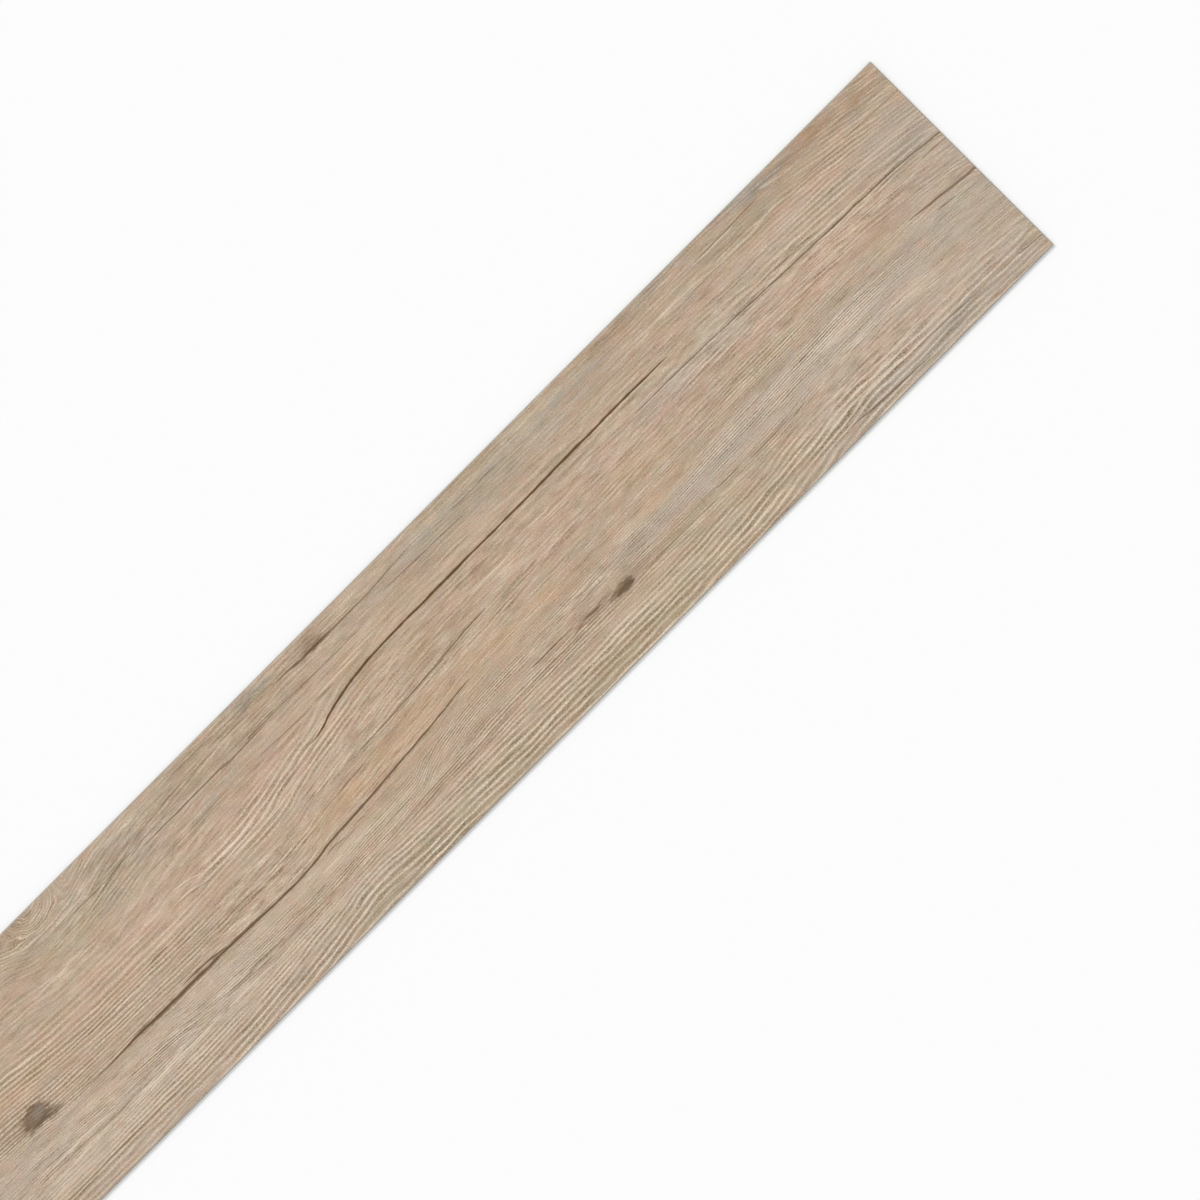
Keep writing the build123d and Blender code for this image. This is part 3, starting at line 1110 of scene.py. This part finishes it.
@dataclass(frozen=True)
class GluedBack:
    """The underside: a plain grey backing with the fine weave of its release cloth. Its colour is
    painted lighter on the weave's raised marks and darker between them, as painted light.
    """

    ground: Colour = (128, 127, 124)
    # painted highlight: the lighter colour laid on the weave's raised marks
    raised: Colour = (144, 143, 139)
    weave: float = 1.2  # millimetres from one thread mark to the next
    thread_height: float = 0.04  # how far a mark stands out, in millimetres
    roughness: float = 0.75
    reflection: float = 0.3

    def material(self) -> bpy.types.Material:
        """Makes the backing's material."""
        made, graph = Graph.of_material("glued_back")
        x, y, _ = graph.place()
        turn = math.tau / self.weave
        threads = graph.math("SINE", x * turn) * graph.math("SINE", y * turn)
        cloud = graph.noise(x / 18, y / 18, 3.0, 7.0)
        # Painted light: the threads make the raised marks lighter and the dips between them darker.
        # The cloud is the backing's own uneven tone.
        share = (threads * 0.25 + cloud * 0.35 + 0.5).at_most(1.0).at_least(0.0)
        colour = graph.blend(share, linear(self.ground), linear(self.raised))
        raised = threads * self.thread_height
        graph.surface(colour, cloud * 0.05 + self.roughness, self.reflection, raised)
        return made


class Side(Enum):
    """Which finish a face of the plank wears: the number of its material."""

    FACE = 0
    EDGE = 1
    BACK = 2


@dataclass
class FloorPlank:
    """The plank itself: its pressed face, eased edge, cut sides and back in one closed mesh.

    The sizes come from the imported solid, in metres.
    """

    low: Vector
    high: Vector
    bevel_run: float
    bevel_drop: float
    cells_along: int = 284
    cells_across: int = 328
    finish: PrintedFace = PrintedFace()
    skin: float = 0.001  # corners less than this far below the top are pressed, in millimetres
    face_strip: Point = (0.15, 0.85)  # on the map: where the face's strip starts, and its width
    back_strip: Point = (0.0, 0.12)
    side_strips: Point = (0.125, 0.006)  # where the three strips of the sides start, and their step
    side_width: float = 0.005
    end_share: float = 0.45  # how much of the third strip's length each of the two ends takes

    @classmethod
    def from_node(cls, name: str) -> "FloorPlank":
        """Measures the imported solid.

        Args:
            name: The CAD node.

        Returns:
            A plank of its size.
        """
        low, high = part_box(name)
        points = [vertex.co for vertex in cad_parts[name].data.vertices]
        face = [p for p in points if high.z - p.z < LEVEL]
        below = max(p.z for p in points if high.z - p.z >= LEVEL)
        return cls(low, high, high.x - max(p.x for p in face), high.z - below)

    def build(self) -> bpy.types.Object:
        """Models the plank and dresses it.

        Returns:
            The finished piece, riding on its body.
        """
        mesh = bpy.data.meshes.new("embossed_plank")
        for material in (
            self.finish.material(),
            CutEdge().material(self.high.z),
            GluedBack().material(),
        ):
            mesh.materials.append(material)
        self._model(mesh)
        piece = add_object("embossed_plank", mesh)
        self._emboss(piece)
        self._lay_map(piece.data)
        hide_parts(CAD_NODE)
        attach(piece, BODY)
        return piece

    def _model(self, mesh: bpy.types.Mesh) -> None:
        """Models the sheet: a fine grid for the face, and its rim drawn out and down."""
        middle = (self.low + self.high) / 2
        size = self.high - self.low
        inner = Vector((size.x - 2 * self.bevel_run, size.y - 2 * self.bevel_run, 1))
        bm = bmesh.new()
        bmesh.ops.create_grid(
            bm,
            x_segments=self.cells_along,
            y_segments=self.cells_across,
            size=0.5,
            matrix=Matrix.Translation((middle.x, middle.y, self.high.z))
            @ Matrix.Diagonal((inner.x, inner.y, 1, 1)),
        )
        for face in bm.faces:
            face.material_index = Side.FACE.value
            face.smooth = True
        rim = [edge for edge in bm.edges if edge.is_boundary]
        for edge in rim:
            edge.smooth = False
        outward = Vector((size.x / inner.x, size.y / inner.y, 1))
        rim = self._draw_out(bm, rim, outward, self.bevel_drop, middle)
        down = size.z - self.bevel_drop
        rim = self._draw_out(bm, rim, Vector((1, 1, 1)), down, middle)
        back = bmesh.ops.contextual_create(bm, geom=rim)["faces"]
        for face in back:
            face.material_index = Side.BACK.value
        bmesh.ops.recalc_face_normals(bm, faces=bm.faces)
        bm.to_mesh(mesh)
        bm.free()

    def _draw_out(
        self,
        bm: bmesh.types.BMesh,
        rim: list[bmesh.types.BMEdge],
        outward: Vector,
        down: float,
        middle: Vector,
    ) -> list[bmesh.types.BMEdge]:
        """Extrudes an open rim into one band of the edge.

        Args:
            bm: The mesh being modelled.
            rim: The open edges.
            outward: How much the new rim is larger than the old one, in X, Y and Z.
            down: How far below it lies, in metres.
            middle: The plank's middle, which it grows away from.

        Returns:
            The new open edges.
        """
        grown = bmesh.ops.extrude_edge_only(bm, edges=rim)["geom"]
        verts = [part for part in grown if isinstance(part, bmesh.types.BMVert)]
        faces = [part for part in grown if isinstance(part, bmesh.types.BMFace)]
        bmesh.ops.scale(bm, vec=outward, verts=verts, space=Matrix.Translation(-middle))
        bmesh.ops.translate(bm, vec=(0, 0, -down), verts=verts)
        for face in faces:
            face.material_index = Side.EDGE.value
        new = [part for part in grown if isinstance(part, bmesh.types.BMEdge)]
        return [edge for edge in new if edge.is_boundary]

    def _emboss(self, piece: bpy.types.Object) -> None:
        """Presses the grain into the face with the expressions of its print, and keeps both."""
        tree = bpy.data.node_groups.new("emboss", "GeometryNodeTree")
        tree.interface.new_socket("Geometry", in_out="INPUT", socket_type="NodeSocketGeometry")
        tree.interface.new_socket("Geometry", in_out="OUTPUT", socket_type="NodeSocketGeometry")
        graph = Graph(tree)
        grain = Grain.drawn(graph, self.finish.design)
        press = PrintPress(graph, self.finish.design, grain)
        kept = grain.keep(graph, graph.node("NodeGroupInput").outputs[0])
        depth = press.relief() * press.z.above(self.high.z / MM - self.skin) * -MM
        drop = graph.node("ShaderNodeCombineXYZ", None, {"Z": depth})
        moved = graph.node(
            "GeometryNodeSetPosition",
            None,
            {"Geometry": kept, "Offset": drop.outputs["Vector"]},
        )
        graph.node("NodeGroupOutput", None, {"Geometry": moved.outputs["Geometry"]})
        piece.modifiers.new("emboss", "NODES").node_group = tree
        flat = piece.data
        pressed = piece.evaluated_get(bpy.context.evaluated_depsgraph_get())
        piece.data = bpy.data.meshes.new_from_object(pressed)
        piece.modifiers.clear()
        bpy.data.meshes.remove(flat)
        piece.data.name = piece.name

    def _lay_map(self, mesh: bpy.types.Mesh) -> None:
        """Lays the faces out flat, with the whole printed face as one long strip.

        Args:
            mesh: The finished mesh, which gets the map.
        """
        layer = mesh.uv_layers.new(name="OFBake")
        size = self.high - self.low
        for polygon in mesh.polygons:
            side = Side(polygon.material_index)
            for loop in polygon.loop_indices:
                place = mesh.vertices[mesh.loops[loop].vertex_index].co - self.low
                share = Vector((place.x / size.x, place.y / size.y, place.z / size.z))
                layer.data[loop].uv = self._spot(side, share, polygon.normal)

    def _spot(self, side: Side, share: Vector, normal: Vector) -> Point:
        """Where a corner lies on the map.

        Args:
            side: The finish that its face wears.
            share: Its place in the plank's box, from 0 to 1.
            normal: The face's normal.

        Returns:
            Its place on the map.
        """
        if side is not Side.EDGE:
            start, width = self.face_strip if side is Side.FACE else self.back_strip
            return share.x, start + width * share.y
        strip = 0 if normal.y < -0.5 else 1 if normal.y > 0.5 else 2
        start, step = self.side_strips
        along = share.x
        if abs(normal.x) > 0.5:
            along = self.end_share * share.y + (0.5 if normal.x > 0 else 0.0)
        return along, start + step * strip + self.side_width * share.z


@dataclass
class Studio:
    """A plain white studio with the camera straight above the plank, in metres."""

    top: float
    middle: Vector = field(default_factory=lambda: Vector((0.12063, -0.03486, 0.0)))
    frame_width: float = 0.7059
    turn: float = -45.09  # degrees that the picture is turned from the plank
    lens: float = 135.0
    sensor: float = 36.0
    sight: float = 50.0  # how far the camera sees
    floor_reach: float = 9.0
    sky: float = 0.72
    backdrop: float = 0.98  # the background that the camera sees, level with the lit floor
    floor_seen: float = 0.99  # the floor's colour for the camera, and for the light it throws back
    floor_bounce: float = 0.8
    sun: float = 0.27
    sun_width: float = 25.0  # degrees that the lamp looks wide, which softens its shadows
    sun_tilt: float = 50.0  # degrees from straight down
    sun_heading: float = 15.0  # degrees that its tilt is turned from straight across the grain

    def build(self) -> None:
        """Makes the floor, the light and the camera."""
        self._floor()
        self._world()
        self._sun()
        self._camera()
        bpy.context.scene.view_settings.view_transform = "Standard"

    def _floor(self) -> None:
        """A wide floor that the camera sees as white, with the plank's shadow on it."""
        mesh = bpy.data.meshes.new("studio_floor")
        bm = bmesh.new()
        bmesh.ops.create_grid(bm, x_segments=1, y_segments=1, size=self.floor_reach)
        bm.to_mesh(mesh)
        bm.free()
        material, graph = Graph.of_material("studio_floor")
        seen = Varying(graph, graph.node("ShaderNodeLightPath").outputs["Is Camera Ray"])
        bounce, white = ((*[level] * 3, 1.0) for level in (self.floor_bounce, self.floor_seen))
        colour = graph.blend(seen, bounce, white)
        shader = graph.node("ShaderNodeBsdfDiffuse", None, {"Color": colour})
        graph.node("ShaderNodeOutputMaterial", None, {"Surface": shader.outputs["BSDF"]})
        mesh.materials.append(material)
        floor = add_object("studio_floor", mesh)

    def _world(self) -> None:
        """Even white light from all round, and a white background."""
        world = bpy.data.worlds.new("studio_light")
        bpy.context.scene.world = world
        world.use_nodes = True
        world.node_tree.nodes.clear()
        graph = Graph(world.node_tree)
        path = graph.node("ShaderNodeLightPath")
        seen = Varying(graph, path.outputs["Is Camera Ray"])
        for name in ("Is Glossy Ray", "Is Transmission Ray"):
            seen = seen.at_least(Varying(graph, path.outputs[name]))
        strength = seen * (self.backdrop - self.sky) + self.sky
        light = graph.node(
            "ShaderNodeBackground", None, {"Color": (1.0, 1.0, 1.0, 1.0), "Strength": strength}
        )
        graph.node("ShaderNodeOutputWorld", None, {"Surface": light.outputs["Background"]})

    def _sun(self) -> None:
        """A broad soft lamp across the grain, which shows the embossing."""
        lamp = bpy.data.lights.new("soft_lamp", "SUN")
        lamp.angle = math.radians(self.sun_width)
        tilt = math.radians(self.sun_tilt)
        lamp.energy = self.sun * math.pi / math.cos(tilt)
        holder = add_object("soft_lamp", lamp)
        holder.rotation_euler = Euler((-tilt, 0, math.radians(self.sun_heading)))

    def _camera(self) -> None:
        """The camera straight above, turned so that the plank runs from corner to corner."""
        data = bpy.data.cameras.new("camera")
        data.lens = self.lens
        data.sensor_width = self.sensor
        data.clip_end = self.sight
        camera = add_object("camera", data)
        above = self.frame_width * self.lens / self.sensor
        camera.location = (self.middle.x, self.middle.y, self.top + above)
        camera.rotation_euler = Euler((0, 0, math.radians(self.turn)))
        bpy.context.scene.camera = camera


def main() -> None:
    """Builds the plank and its studio, and notes how many faces the plank has."""
    logging.basicConfig(level=logging.INFO, format="%(name)s: %(message)s")
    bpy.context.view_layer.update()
    plank = FloorPlank.from_node(CAD_NODE)
    piece = plank.build()
    log.info("%s: %d faces", piece.name, len(piece.data.polygons))
    Studio(plank.high.z).build()


if __name__ == "__main__":
    main()
